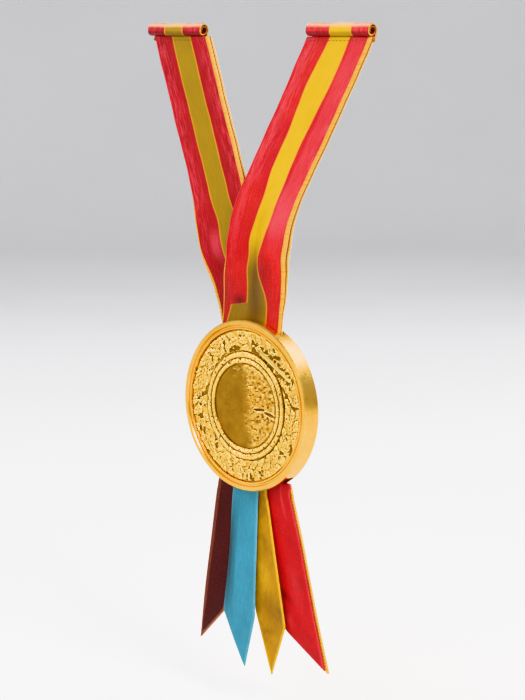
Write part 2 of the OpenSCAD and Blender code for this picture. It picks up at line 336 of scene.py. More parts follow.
def striped(name, red, warm, yellow, pale):
    """Red ribbon with a yellow stripe, light lines beside the stripe and streaky selvedges. A painted sheen,
    painted shade in its folds and a painted highlight along the top of a hem roll are laid in as well. The
    colours are screen values, and the red drifts to warm in patches."""
    s = Shader(name, Specular_IOR_Level=0.3, Sheen_Weight=0.08, Sheen_Roughness=0.3,
               Sheen_Tint=(1, 0.5, 0.5, 1))
    side, inside = s.math("ABSOLUTE", s.attribute("across")), s.attribute("stripe")
    stripe = s.ramp(s.math("ADD", inside, 0.5), (0.495, 0.0), (0.505, 1.0))
    line = s.ramp(s.math("ADD", inside, 0.5), (0.49, 0.0), (0.505, 0.7), (0.52, 0.6), (0.55, 0.0))
    flecks = streaks_along(s, 1.3, 0.13, 4.0)
    # painted highlight: a cream line along the top of the hem roll
    painted_top_highlight = s.times(s.attribute("top_highlight"), 0.9)
    selvedge_and_sheen = s.ramp(side, (0.45, 0.15), (0.78, 0.8), (0.88, 0.9), (0.97, 0.3))
    selvedge_and_sheen = s.times(selvedge_and_sheen, s.ramp(flecks, (0.45, 0.0), (0.60, 1.0)))
    # the streaks fade towards the slot, where the cloth is smooth
    down = s.math("DIVIDE", s.attribute("along"), 130)
    selvedge_and_sheen = s.times(selvedge_and_sheen, s.ramp(down, (0.5, 1.0), (0.7, 0.35)))
    # painted sheen where the satin catches the light, laid in with the selvedge streaks
    glow = s.times(s.attribute("glow"), s.ramp(flecks, (0.30, 0.55), (0.65, 1.0)))
    selvedge_and_sheen = s.math("MAXIMUM", selvedge_and_sheen, glow)
    colour = s.mix(s.ramp(s.noise(42.0, 2.0), (0.4, 0.0), (0.65, 0.8)), srgb(*red), srgb(*warm))
    colour = s.mix(selvedge_and_sheen, colour, srgb(*pale))
    # painted shade: the red and the stripe darken in the folds and under the hem roll
    colour = s.mix(s.attribute("shade_red"), colour, srgb(104, 4, 8))
    gold = s.mix(s.attribute("shade"), srgb(*yellow), srgb(82, 44, 0))
    colour = s.mix(line, s.mix(stripe, colour, gold), srgb(232, 156, 48))
    weave(s, s.mix(painted_top_highlight, colour, srgb(255, 206, 160)))
    return s.material


def thread_material():
    """Sewing thread with a twist."""
    s = Shader("hem_thread", Roughness=0.6, Sheen_Weight=0.2, Specular_IOR_Level=0.4)
    twist = s.noise(2400.0, 2.0)
    s.use("Base Color", s.mix(s.ramp(twist, (0.4, 0.0), (0.7, 0.4)), srgb(120, 26, 16), srgb(190, 110, 40)))
    s.use("Normal", s.bump(twist, 0.5, 0.0001))
    return s.material


def binding_material():
    """Gold binding tape: whipped with thread, paler round the back of its back fold and dark between the
    stitches. Painted shade darkens it on the rolled ends of the hems.
    """
    s = Shader("gold_binding", Specular_IOR_Level=0.5, Sheen_Weight=0.12, Sheen_Roughness=0.35,
               Sheen_Tint=(1, 0.8, 0.5, 1))
    pale = srgb(250, 214, 132)
    turn = s.attribute("turn")
    vector = s.vector(s.times(s.attribute("along"), 0.9), s.times(turn, 2.0))
    flecks = s.noise(1.0, 5.0, 0.7, vector)
    colour = s.mix(s.ramp(flecks, (0.42, 0.0), (0.7, 0.5)), srgb(206, 142, 10), pale)
    colour = s.mix(s.ramp(turn, (0.15, 0.0), (0.5, 0.8)), colour, pale)
    colour = s.mix(s.attribute("red"), colour, srgb(196, 44, 52))
    # dark between the stitches, and painted shade on the hems' rolled ends
    colour = s.mix(s.ramp(s.attribute("gap_and_shade"), (0.15, 0.0), (0.8, 0.9)), colour, srgb(84, 44, 4))
    s.use("Base Color", colour)
    s.roughness(flecks, 0.3, 0.7, 0.3, 0.55)
    s.use("Normal", s.bump(flecks, 0.4, 0.00012))
    return s.material


def steel_material():
    """Bright drawn steel."""
    s = Shader("drawn_steel", Metallic=1.0)
    grain = s.noise(1500.0, 3.0, 0.6)
    s.use("Base Color", s.mix(grain, (0.5, 0.5, 0.5), (0.62, 0.62, 0.63)))
    s.roughness(grain, 0.3, 0.7, 0.22, 0.38)
    s.use("Normal", s.bump(grain, 0.2, 0.00005))
    return s.material


def tape_material():
    """Grey cotton tape with fine twill."""
    s = Shader("header_tape", Roughness=0.8, Sheen_Weight=0.1)
    grain = s.node("TexWave", {"Vector": s.position(), "Scale": 900.0, "Distortion": 1.5}).outputs["Fac"]
    s.use("Base Color", s.mix(grain, srgb(70, 66, 62), srgb(98, 94, 88)))
    s.use("Normal", s.bump(grain, 0.4, 0.0001))
    return s.material


mat_gold = gold_material("gilt_case", GOLD, GOLD_DEEP, 0.22, 0.02)
mat_relief = gold_material("gilt_relief", srgb(252, 206, 98), srgb(232, 172, 62), 0.25, 0.08, relief=True)
mat_disc = gold_material("gilt_disc", srgb(244, 190, 84), srgb(222, 160, 58), 0.30, 0.10, relief=True)
mat_screw = gold_material("gilt_screw", GOLD_DEEP, GOLD_DARK, 0.35, 0.05)
mat_steel = steel_material()
mat_tape = tape_material()
mat_thread = thread_material()
mat_binding = binding_material()
mat_striped_right = striped("striped_right", (184, 14, 20), (200, 34, 20), (216, 174, 0), (226, 78, 90))
# the left arm is the same ribbon as the right; its darker colours are painted shade
mat_striped_left_shaded = striped("striped_left_painted_shade", (156, 6, 10), (172, 14, 16), (158, 124, 0), (214, 66, 80))
mat_blue = satin("blue_satin", (58, 142, 168), (140, 196, 208), (0, 66, 78), 0.4, (0.6, 0.9, 1.0), 0.1)
mat_yellow = satin("yellow_satin", (180, 130, 0), (240, 196, 60), (128, 84, 0), 0.8, (1.0, 0.8, 0.4), 0.7)
mat_red = satin("red_satin", (190, 22, 26), (232, 76, 84), (118, 2, 10), 0.6, (1.0, 0.5, 0.5))
# the left tail's red, darkened with painted shade for the shadow that tail lies in
mat_red_shaded = satin("red_satin_painted_shade", (68, 3, 0), (196, 112, 80), (48, 4, 2), 0.8, (1.0, 0.5, 0.4))
mat_gold_back = satin("gold_satin", (214, 148, 18), (252, 216, 130), (96, 54, 6), 0.45, (1.0, 0.8, 0.4))
mat_tan_back = satin("tan_satin", (172, 116, 70), (214, 164, 114), (104, 62, 34), 0.7, (1.0, 0.8, 0.6))


def paint(obj, *materials):
    obj.data.materials.clear()
    for material in materials:
        obj.data.materials.append(material)


def repaint_cad(node, material):
    """Gives a carried-over CAD node a better material, in its object's own slots."""
    obj = frame["nodes"][node]
    for index in range(len(obj.material_slots)):
        obj.material_slots[index].link = "OBJECT"
        obj.material_slots[index].material = material


CAD_MATERIALS = {"medal_case": mat_gold, "back_cover": mat_gold, "cover_screws": mat_screw,
                 "neck_bar": mat_steel, "tail_bar": mat_steel, "tail_header": mat_tape}
for cad_node, cad_material in CAD_MATERIALS.items():
    repaint_cad(cad_node, cad_material)


# ---- medal face

def node_radius(node):
    low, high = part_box(node)
    return (high[0] - low[0]) / 2


FACE_BACK = -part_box("wreath_ring")[1][1]
WREATH_R = node_radius("wreath_ring")
BEZEL_R = node_radius("centre_bezel")
DISC_R = node_radius("centre_disc")
WREATH_SEED = 20


def relief_tone(top, hollow):
    """Adds painted shade to hollow in a relief's crevices, and gives how far each point stands above those
    round it, which the gilt paints as a highlight.
    """
    mean = top
    for _ in range(40):
        mean = (np.roll(mean, 1, 1) + 2 * mean + np.roll(mean, -1, 1)) / 4
        padded = np.vstack([mean[:1], mean, mean[-1:]])
        mean = (padded[:-2] + 2 * mean + padded[2:]) / 4
    rise = (top - mean) / (0.1 * MM)
    return clamp(hollow + 0.85 * ease(-rise, 0.15, 1.5)), ease(rise, 0.3, 1.6)


def face_ring(name, radii, turns, height):
    """A closed ring on the medal's face. height(radius, angle) gives how far it stands off FACE_BACK, and how
    deep in a hollow it is."""
    angle = np.linspace(0, 2 * math.pi, turns, endpoint=False)
    rr, aa = np.meshgrid(radii, angle, indexing="ij")
    top, hollow = height(rr, aa)
    hollow, crest = relief_tone(top, hollow)
    rows = [0, *range(len(radii)), -1]
    rr, aa, top = rr[rows], aa[rows], top[rows]
    top[[0, -1]] = 0
    points = np.stack([rr * np.cos(aa), -(FACE_BACK + top), rr * np.sin(aa)], 2)
    last = (len(rows) - 1) * turns
    under = [(last + k, last + (k + 1) % turns, (k + 1) % turns, k) for k in range(turns)]
    faces = [face[::-1] for face in band_faces(len(rows), turns) + under]
    return new_object(name, points, faces, {"hollow": hollow[rows], "crest": crest[rows]})


def add_leaf(height, u, v, length, half_width, lift):
    """Lays one leaf over a height field: u along it, v across it. It rises to its tip."""
    t = clamp(u / length)
    w = half_width * np.sin(math.pi * t ** 0.8) ** 0.6 + 1e-9
    inside = clamp(1 - (v / w) ** 2) * (u > 0) * (u < length)
    rib = 0.20 * np.exp(-(v / (0.14 * half_width)) ** 2)
    veins = 0.10 * np.sin((u - 0.9 * np.abs(v)) / length * 22)
    leaf = lift * (0.12 + 0.56 * inside ** 0.6 + 0.34 * t - rib + veins)
    return height + (leaf - height) * ease(inside, 0.0, 0.16)


def along_arc(aa, place, r):
    """Distance along a circle of radius r from the angle place, in the units of r."""
    return (np.remainder(aa - place + math.pi, 2 * math.pi) - math.pi) * r


def segment_distance(x, z, start, end):
    """Distance of points from a straight segment, and how far along it they lie from 0 to 1."""
    dx, dz = end[0] - start[0], end[1] - start[1]
    share = clamp(((x - start[0]) * dx + (z - start[1]) * dz) / (dx * dx + dz * dz))
    return np.hypot(x - start[0] - share * dx, z - start[1] - share * dz), share


def wreath_height(rr, aa):
    rng = np.random.default_rng(WREATH_SEED)
    r = rr / MM
    x, z = r * np.cos(aa), r * np.sin(aa)
    inner, outer = BEZEL_R / MM + 0.1, WREATH_R / MM
    leaves = np.zeros_like(r)
    # each row of leaves: its radius, how they lean, their length and half width, and their number
    rows = ((outer - 1.9, 0.7, 5.6, 1.7, 34),
            (inner + 1.8, -0.7, 5.0, 1.5, 30),
            (inner + 4.3, 0.1, 5.4, 1.7, 30))
    for row, (r0, lean, length, half, count) in enumerate(rows):
        for i in range(count):
            place = 2 * math.pi * (i + 0.4 * row + rng.uniform(-0.15, 0.15)) / count
            turn = lean + rng.uniform(-0.45, 0.45)
            size = rng.uniform(0.85, 1.15)
            along, out = along_arc(aa, place, r), r - r0 - rng.uniform(-0.4, 0.4)
            u = along * math.cos(turn) + out * math.sin(turn) + length * size * 0.5
            v = out * math.cos(turn) - along * math.sin(turn)
            leaves = add_leaf(leaves, u, v, length * size, half * size, rng.uniform(0.75, 1.0))
    band = (r - inner) / (outer - inner)
    patches = noise(x * 0.42 + 7, z * 0.42, 4, 5)
    inward = 0.42 * ease(band, 0.42, 0.08) * (0.6 + 0.4 * np.cos(aa - math.radians(75)))
    hollow = ease(patches + inward, 0.30, 0.52) * ease(band, 0.0, 0.07)
    # a smooth branch lies across the wreath at the upper right, with a deep groove beyond its lower end
    away, share = segment_distance(x, z, (9.5, 22.7), (25.2, 13.1))
    groove, _ = segment_distance(x, z, (18.7, 12.4), (25.2, 4.7))
    beside = ease(away, 3.2, 1.6) * ease(noise(x, z, 3, 40), -0.25, 0.15)
    hollow = np.maximum(hollow, beside)
    hollow = np.maximum(hollow * ease(away, 0.7, 1.2), ease(groove, 0.75, 0.3))
    branch = np.sqrt(clamp(1 - (away / (1.25 - 0.35 * share)) ** 2))
    # a rosette and scattered berries
    rose_r = np.hypot(x - 23, z + 13.6)
    petals = 2.5 + 0.3 * np.cos(6 * np.arctan2(z + 13.6, x - 23))
    rosette = clamp(1 - (rose_r / petals) ** 4) * (0.8 + 0.2 * np.cos(rose_r * 4.4))
    hollow = hollow * ease(rose_r, 2.3, 2.9)
    berries = np.zeros_like(r)
    for _ in range(60):
        place, r0 = rng.uniform(0, 2 * math.pi), rng.uniform(inner + 1, outer - 1)
        ball = np.hypot(along_arc(aa, place, r), r - r0) / rng.uniform(0.4, 0.75)
        berries = np.maximum(berries, np.sqrt(clamp(1 - ball ** 2)))
    texture = noise(x * 1.3, z * 1.3, 4, 11)
    lumps = 0.5 + 0.5 * noise(x * 0.33, z * 0.33, 2, 71)
    height = 0.16 + 1.15 * leaves * (0.7 + 0.4 * lumps) + 0.07 * texture
    height = np.maximum(height, 0.5 + 0.5 * berries * (berries > 0))
    height = np.maximum(height * (1 - 0.75 * hollow), 0.35 + 0.75 * branch * (branch > 0))
    height = np.maximum(height, (0.3 + 0.72 * rosette) * (rosette > 0))
    edge = ease(band, 0.0, 0.06) * ease(band, 1.0, 0.94)
    height = np.clip(height * (0.4 + 0.6 * edge), 0.1, 1.28)
    return height * MM, clamp(0.9 * hollow)


def bezel_height(rr, aa):
    r = rr / MM
    x, z = r * np.cos(aa), r * np.sin(aa)
    inner, outer = DISC_R / MM + 0.1, BEZEL_R / MM
    share = (r - inner) / (outer - inner)
    rings = np.maximum(hill(share, 0.24, 0.26), 0.95 * hill(share, 0.73, 0.30))
    rough = 1.8 * noise(x * 1.1, z * 1.1, 4, 9)
    beads = 0.5 + 0.5 * np.cos(aa * 150)
    pits = ease(noise(x * 0.9 + 3, z * 0.9, 3, 17), 0.28, 0.5)
    height = 0.56 + rings * (0.58 + 0.16 * rough + 0.10 * beads * (share > 0.5)) - 0.4 * pits * rings
    hollow = clamp(1 - rings * 2.2) * 0.3 + pits * 0.55
    return np.clip(height, 0.12, 1.3) * MM, clamp(hollow)


def disc_height(rr, aa):
    x, z = rr * np.cos(aa) / MM, rr * np.sin(aa) / MM
    side = ease(x + 0.12 * z + 2.6 * noise(x * 0.2, z * 0.25, 3, 3), -2.5, 4.0)
    top = ease(z, 8, 15) * ease(noise(x * 0.6, z * 0.6, 3, 50), 0.1, 0.45)
    side = np.maximum(side, 0.55 * top)
    rough = noise(x * 0.7, z * 0.9, 5, 21)
    ripples = noise(x * 1.2, z * 2.6, 3, 33)
    relief = 0.26 + side * (0.28 + 0.34 * rough + 0.24 * ripples)
    relief = relief + (1 - side) * 0.03 * noise(x, z, 3, 8)
    flat = 0.74 + 0.12 * noise(x * 0.4, z * 0.3, 3, 5)
    hollow = side * (0.14 + 0.5 * ease(-rough, 0.1, 0.7)) + (1 - side) * flat
    for x0, z0, turn, half, width in ((8.4, -0.6, 0.06, 3.7, 0.62), (14.0, -2.1, -0.26, 3.3, 0.75)):
        u = (x - x0) * math.cos(turn) + (z - z0) * math.sin(turn)
        v = (z - z0) * math.cos(turn) - (x - x0) * math.sin(turn)
        lip = clamp(1 - (u / (half + 1.0)) ** 2 - (v / (width + 0.9)) ** 2)
        blade = clamp(1 - (u / half) ** 2 - (v / width) ** 2)
        relief = relief + 0.22 * ease(lip, 0, 0.5) - 0.55 * ease(blade, 0, 0.6)
        hollow = np.maximum(hollow * (1 - 0.6 * ease(lip, 0, 0.4)), ease(blade, 0, 0.25))
    rim = ease(rr / MM, DISC_R / MM - 1.0, DISC_R / MM - 0.2)
    return np.clip(relief * (1 - rim) + 0.3 * rim, 0.06, 1.0) * MM, clamp(hollow)


def stand_for(obj, slot, *nodes):
    """Hides the CAD nodes that a piece stands in for."""
    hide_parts(*nodes)


wreath = face_ring("wreath_relief", np.linspace(BEZEL_R + 0.1 * MM, WREATH_R, 72), 1400, wreath_height)
bezel = face_ring("double_ring", np.linspace(DISC_R + 0.1 * MM, BEZEL_R, 40), 900, bezel_height)
disc = face_ring("centre_relief", np.linspace(0.02 * MM, DISC_R, 110), 480, disc_height)
for ring, ring_node, ring_material, ring_slot in ((wreath, "wreath_ring", mat_relief, "ornament_gold"),
                                                  (bezel, "centre_bezel", mat_relief, "ornament_gold"),
                                                  (disc, "centre_disc", mat_disc, "disc_gold")):
    paint(ring, ring_material)
    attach(ring, "medal")
    stand_for(ring, ring_slot, ring_node)


# ---- ribbon arms

def cad_sections(*nodes):
    """Height, left, right, front and back of a strip at each of its stations, read from the CAD nodes."""
    points = np.concatenate([[v.co for v in frame["nodes"][n].data.vertices] for n in nodes])
    levels = np.unique(np.round(points[:, 2], 5))
    rows = []
    for z in levels:
        ring = points[np.abs(points[:, 2] - z) < 1e-5]
        rows.append((z, ring[:, 0].min(), ring[:, 0].max(), ring[:, 1].min(), ring[:, 1].max()))
    return np.array(rows)


def smoothed(values, width):
    kernel = np.exp(-0.5 * (np.arange(-3 * width, 3 * width + 1) / width) ** 2)
    padded = np.pad(values, 3 * width, mode="reflect", reflect_type="odd")
    return np.convolve(padded, kernel / kernel.sum(), mode="valid")


STEP = 0.7 * MM
TAPE_STEP = 0.25 * MM
NECK_LOW, NECK_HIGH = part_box("neck_loop")
JOINT_Z = {joint["name"]: joint["pos_m"][2] for joint in frame["joints"]}
SWING_Z = JOINT_Z["medal_swing"]
NECK_FOOT = SWING_Z - 6.2 * MM
SLOT_REACH = 17.0 * MM
LAYER_OFFSET = 0.26
NECK_MIDDLE = (NECK_LOW[1] + NECK_HIGH[1]) / 2
HEM_LOW, HEM_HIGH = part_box("right_hem")
HEM_Z = (HEM_LOW[2] + HEM_HIGH[2]) / 2
STRIPE_HALF = 0.35


class Arm:
    """One arm of the neck ribbon: the shape that its layers and bindings share, from the hem to the slot."""

    def __init__(self, side):
        self.side = side
        self.sign = 1 if side == "right" else -1
        parts = ("front", "back", "inner_binding", "outer_binding")
        rows = cad_sections(*(f"{side}_arm_{part}" for part in parts))
        foot, top = rows[0], rows[-1, 0]
        layer = (NECK_HIGH[1] - NECK_LOW[1]) / 2 - 0.05 * MM
        middle = NECK_MIDDLE - self.sign * (layer + 0.05 * MM) / 2
        sides = middle - layer / 2, middle + layer / 2
        foot_left = max(foot[1], -SLOT_REACH - 2.3 * MM)
        foot_right = min(foot[2], SLOT_REACH + 0.9 * MM)
        low = [(NECK_FOOT, NECK_LOW[0], NECK_HIGH[0], *sides),
               (NECK_FOOT + 1 * MM, -SLOT_REACH, SLOT_REACH, *sides),
               (foot[0] - 3 * MM, foot_left, foot_right, *sides)]
        self.rows = np.vstack([low, rows])
        self.top = top + 0.5 * MM
        self.z = np.arange(NECK_FOOT, self.top + STEP / 2, STEP)[::-1]
        self.x0, self.x1, self.y, self.thick = self.section(self.z)
        middle_x = (self.x0 + self.x1) / 2
        self.slope = np.gradient(middle_x, self.z)
        self.length = np.concatenate([[0], np.cumsum(np.hypot(np.diff(middle_x), np.diff(self.z)))])

    def section(self, z):
        """Left edge, right edge, middle depth and thickness at each height."""
        width = max(1, int(round(2.6 * MM / abs(z[1] - z[0]))))
        level, *columns = self.rows.T
        x0, x1, y0, y1 = (smoothed(np.interp(z, level, column), width) for column in columns)
        return x0, x1, (y0 + y1) / 2, y1 - y0

    def fold(self, share, z):
        """How far the cloth stands off its plane at share across it, -1 to 1. Minus is to the front."""
        h = z / MM
        ripple = 0.10 * np.sin(0.23 * h + 2.2 * share) + 0.06 * np.sin(0.51 * h - 3.1 * share + 1)
        ripple = ripple * ease(h, 36, 46)
        if self.sign > 0:
            swell = 2.5 * ease(h, 37, 57) * ease(h, 100, 62)
            crest = hill(share, 0.40, 0.52) * (1 + 0.25 * hill(h, 61, 6))
            wave = 0.30 * hill(share, -0.36, 0.5) - crest - 0.55 * hill(share, -1.05, 0.6)
            wave = wave + 0.3 * hill(share, 1.05, 0.5)
            knee = -0.8 * hill(h, 78, 16) * hill(share, 0.75, 0.7)
            knee = knee + 0.8 * hill(share, 1.15, 0.75) * ease(h, 56, 80)
            ledge = 0.35 * ease(h, 42.2, 40.6) * ease(h, 35.5, 38) * hill(share, -0.5, 0.42)
            return (ripple + swell * wave + knee + ledge) * MM
        roll = -1.3 * ease(h, 36, 46) * ease(h, 84, 70) * hill(share, -1.05, 0.55)
        knee = -0.9 * hill(h, 63, 9) * hill(share, -0.35, 0.6)
        knee = knee + 0.5 * hill(h, 53, 9) * hill(share, -0.4, 0.6)
        return (ripple + roll + knee) * MM

    def swell(self, share, z):
        """How much thicker than elsewhere the arm is, where its two layers part at the outer edge."""
        h = z / MM
        if self.sign < 0:
            return 1 + 0 * share
        parted = 0.55 * hill(h, 70, 22) + 0.15 * ease(h, 38, 44) * ease(h, 80, 60)
        return 1 + parted * ease(share, 0.5, 0.95)

    def shades(self, share, z):
        """How much painted shade darkens the stripe and the red in the folds, and low on the left arm, from 0
        to 1, and how far inside the stripe.
        """
        h = z / MM
        if self.sign < 0:
            away = np.abs(share - 0.15 * ease(h, 86, 72))
            return 0 * share, 0.45 * ease(h, 50, 36) + 0 * share, STRIPE_HALF - away
        stripe = ease(h, 71, 54) * (0.70 + 0.2 * hill(share, 0.1, 0.4))
        red = 0.42 * hill(h, 54, 12) * hill(share, 0.42, 0.4)
        red = red + 0.9 * hill(h, 42, 4.5) * hill(share, -0.45, 0.32)
        red = red + 0.3 * ease(h, 66, 44) * hill(share, -0.95, 0.45)
        high = 0.09 * ease(h, 66, 76)
        left = -STRIPE_HALF + high + 0.03 * hill(h, 62, 16) + 0.10 * hill(h, 84, 14)
        left = left + 0.14 * hill(h, 43, 15) - 0.54 * ease(h, 41.8, 40.2)
        left = left - 0.09 * hill(h, 128, 20)
        right = STRIPE_HALF + high - 0.09 * hill(h, 58, 12) - 0.13 * hill(h, 107, 30)
        right = right - 0.05 * ease(h, 120, 145) + 0.16 * ease(h, 58, 40)
        return stripe, clamp(red), np.minimum(share - left, right - share)

    def glow(self, share, z):
        """Where the red satin catches the light, 0 to 1."""
        h = z / MM
        if self.sign < 0:
            return 0.95 * hill(h, 64, 9) * hill(share, -0.38, 0.34)
        band = ease(share, 0.40, 0.52) * ease(share, 1.0, 0.86) * ease(h, 58, 74)
        edge = 0.5 * hill(share, -0.80, 0.12) * ease(h, 60, 75)
        return band * (0.55 + 0.4 * hill(h, 79, 12)) + edge

    def ring(self, z, edges, y, thick, offset, profile):
        """Points of a section from shares across and depths. The cloth keeps its width as it folds."""
        grid = np.linspace(-1, 1, 61)
        half = (edges[1] - edges[0]) / 2
        depth = self.fold(grid, z)
        run = np.sqrt(np.clip(1 - (np.gradient(depth, grid) / half) ** 2, 0.3, 1)) * half
        walk = np.concatenate([[0], np.cumsum((run[1:] + run[:-1]) / 2 * np.diff(grid))])
        spare = (2 * half - walk[-1]) / 2
        lean = -np.gradient(depth, walk)
        share = np.clip(profile[:, 0], -1, 1)
        past = (profile[:, 0] - share) * half
        tilt = np.interp(share, grid, np.arctan(lean))
        reach = (offset * thick + profile[:, 1]) * self.swell(share, z)
        x = edges[0] + spare + np.interp(share, grid, walk) + past * np.cos(tilt) + reach * np.sin(tilt)
        y = y + np.interp(share, grid, depth) - past * np.sin(tilt) + reach * np.cos(tilt)
        return np.stack([x, y, np.full_like(x, z)], 1)


def ribbon_layer(arm, part, offset, material):
    """One of an arm's two layers of ribbon, set off its middle by a share of its thickness."""
    rings, shares = [], []
    for i, z in enumerate(arm.z):
        half = (arm.x1[i] - arm.x0[i]) / 2
        profile = band_profile(half - 0.3 * MM, 0.42 * arm.thick[i], 64)
        profile[:, 0] /= half
        rings.append(arm.ring(z, (arm.x0[i], arm.x1[i]), arm.y[i], arm.thick[i], offset, profile))
        shares.append(profile[:, 0])
    rings, shares = np.array(rings), np.array(shares)
    tilt = np.arctan(arm.slope)[:, None]
    away = shares * ((arm.x1 - arm.x0) / 2)[:, None]
    stripe_shade, red_shade, stripe = arm.shades(shares, rings[..., 2])
    obj = new_object(f"{arm.side}_ribbon_{part}", rings, sweep_faces(*rings.shape[:2]),
                     {"across": shares, "across_mm": away * np.cos(tilt) / MM, "stripe": stripe,
                      "along": (arm.length[:, None] - away * np.sin(tilt)) / MM,
                      "shade": stripe_shade, "shade_red": red_shade, "glow": arm.glow(shares, rings[..., 2])})
    paint(obj, material)
    return obj


def tape_profile(thick, lap):
    """Section of a tape folded round one edge of a layer: distance outward, depth and place round the fold.
    The second result is how many of its points are on the outside."""
    r = thick / 2 + 0.08 * MM
    q = r - 0.16 * MM
    bend = np.linspace(-math.pi / 2, math.pi / 2, 11)

    def arc(radius, angles):
        return [(radius * math.cos(a), radius * math.sin(a), math.sin(a)) for a in angles]

    outer = [(-lap, -r, -1), (-lap * 0.5, -r, -1), *arc(r, bend), (-lap * 0.5, r, 1), (-lap, r, 1)]
    inner = [(-lap, q, 1), *arc(q, bend[::-2]), (-lap, -q, -1)]
    return np.array(outer + inner), len(outer)


def binding_tape(arm, side, part):
    """Gold tape folded over one long edge of the arm, whipped with thread: one fold for each layer."""
    # the left-hand edges are red, and only their lower ends are gold
    red_from, red_to = (52, 64) if arm.sign > 0 else (74, 86)
    z = np.arange(NECK_FOOT, arm.top + TAPE_STEP / 2, TAPE_STEP)[::-1]
    x0, x1, y, thick = arm.section(z)
    length = np.interp(-z, -arm.z, arm.length) / MM
    vertices, faces, marks, base = [], [], [], 0
    for offset in (-LAYER_OFFSET, LAYER_OFFSET):
        rings = []
        for i, h in enumerate(z):
            lap, red = 0.8, 0.0
            if side < 0:
                wide = 0.9 * ease(h / MM, 64, 50) if arm.sign < 0 else 0
                lap, red = 0.1 + wide, ease(h / MM, red_from, red_to)
            shape, shell = tape_profile(0.46 * thick[i], lap * MM)
            phase = length[i] / 1.25 + 0.3 * shape[:, 2] + (0.5 if offset > 0 else 0)
            ridge = np.abs(np.sin(math.pi * phase)) ** 0.5
            swell = np.where(np.arange(len(shape)) < shell, 0.07 * MM * (ridge - 0.6), 0)
            shape[:, 1] += np.sign(shape[:, 1]) * swell * (1 - np.abs(shape[:, 0]) / (3 * MM))
            shape[:, 0] += np.where(shape[:, 0] > 0, swell, 0)
            half = (x1[i] - x0[i]) / 2
            outward = shape[:, 0] - thick[i] * 0.23 - 0.1 * MM
            profile = np.stack([side * (1 + outward / half), shape[:, 1]], 1)
            rings.append(arm.ring(h, (x0[i], x1[i]), y[i], thick[i], offset, profile))
            seam = ease(-shape[:, 2] * np.sign(offset), 0.25, 0.75) * (0.55 + 0.45 * ridge)
            gap_and_shade = np.maximum((1 - ridge) * (0.45 + 0.3 * (offset > 0)), seam)
            marks.append(np.stack([0 * gap_and_shade + length[i], shape[:, 2] * (offset > 0), gap_and_shade, 0 * gap_and_shade + red], 1))
        rings = np.array(rings)
        faces += [tuple(k + base for k in face[::side]) for face in sweep_faces(*rings.shape[:2])]
        vertices.append(rings.reshape(-1, 3))
        base += len(vertices[-1])
    obj = new_object(f"{arm.side}_{part}_tape", np.concatenate(vertices), faces,
                     dict(zip(("along", "turn", "gap_and_shade", "red"), np.concatenate(marks).T)))
    paint(obj, mat_binding)
    stand_for(obj, "gold_binding", f"{arm.side}_arm_{part}_binding")
    return obj


def make_arm(side, material):
    """Both layers and both bindings of an arm. They bend at the slot, on their way down from the hem."""
    arm = Arm(side)
    tapes = [binding_tape(arm, -arm.sign, "inner"), binding_tape(arm, arm.sign, "outer")]
    layers = [ribbon_layer(arm, "front", -LAYER_OFFSET, material),
              ribbon_layer(arm, "back", LAYER_OFFSET, material)]
    for layer, part in zip(layers, ("front", "back")):
        stand_for(layer, "striped_ribbon", f"{side}_arm_{part}")
    for piece in tapes + layers:
        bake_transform(piece)
    return arm, layers[0]


right_arm, right_front = make_arm("right", mat_striped_right)
left_arm, _ = make_arm("left", mat_striped_left_shaded)
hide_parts("arm_seam", "neck_loop")


# ---- hems

LEFT_HEM_SHORTER = 1.4 * MM
STITCH_COUNT = 15


def hem_path():
    """Middle line of the hem's cloth in (y, z): up the back, over the top and curled inward."""
    turn = np.radians(np.linspace(-38, 560, 76))
    shrink = ease(turn, math.radians(200), math.radians(300))
    radius = (2.42 - 0.84 * shrink) * MM
    tall = 1 + 0.10 * (np.sin(turn) > 0) * np.sin(turn) * (1 - shrink)
    crease = 1 - 0.05 * hill(turn, math.radians(172), math.radians(12))
    arc = np.stack([radius * crease * np.cos(turn), radius * tall * np.sin(turn)], 1)
    back = np.array([(1.25, -4.3), (1.5, -3.2), (1.75, -2.3)]) * MM
    return np.concatenate([back, arc])


def strip_loop(path, thickness):
    """A closed loop of points round a path, thickness wide."""
    tangent = np.gradient(path, axis=0)
    tangent /= np.linalg.norm(tangent, axis=1)[:, None]
    normal = np.stack([-tangent[:, 1], tangent[:, 0]], 1) * thickness / 2
    return np.concatenate([path - normal, (path + normal)[::-1]])


def round_loop(values):
    """Values along a strip's path, given to each point of the loop round it."""
    return np.concatenate([values, values[::-1]])


